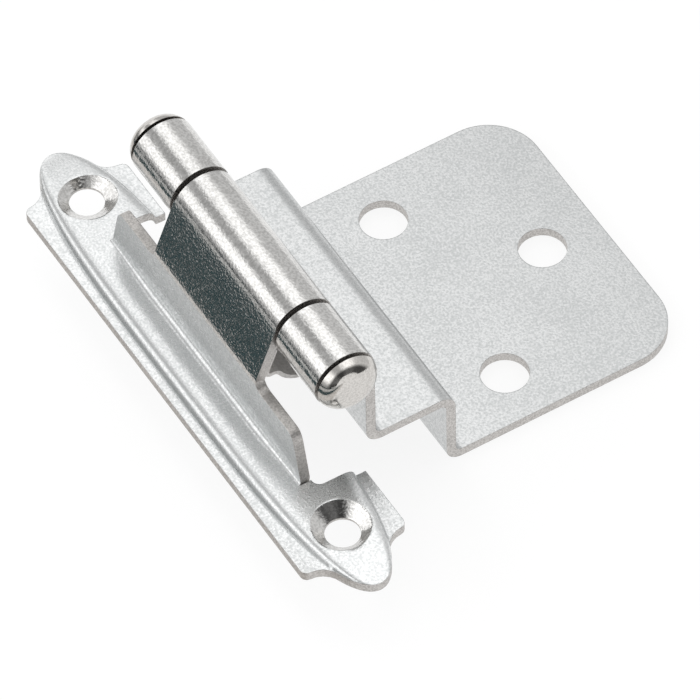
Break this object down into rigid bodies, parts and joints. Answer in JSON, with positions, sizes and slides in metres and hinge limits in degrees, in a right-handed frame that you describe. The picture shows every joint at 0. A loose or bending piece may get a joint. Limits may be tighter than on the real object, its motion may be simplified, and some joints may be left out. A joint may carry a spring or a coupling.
{
  "type": "semi-concealed cabinet hinge",
  "caption": "Zinc-plated self-closing face-mount cabinet hinge for a door with an inset lip: boat-shaped frame leaf, rolled barrel and stepped screw plate for the door",
  "frame": {"origin": "on the face frame, midway between the two frame screws", "axes": "Y along the barrel, X towards the door, Z out of the face frame"},
  "size_m": [0.0559, 0.0698, 0.0272],
  "materials": {
    "zinc_frame": "satin",
    "zinc_door": "satin",
    "zinc_pin": "polished",
    "spring_steel": "satin"
  },
  "bodies": {
    "frame": {"frame_leaf": "zinc_frame", "closing_spring": "spring_steel"},
    "door": {"door_leaf": "zinc_door", "hinge_pin": "zinc_pin"}
  },
  "joints": [
    {"name": "door_swing", "type": "hinge", "parent": "frame", "child": "door", "pos_m": [0.00535, 0, 0.016], "axis": [0, -1, 0], "range_deg": [0, 180]}
  ]
}
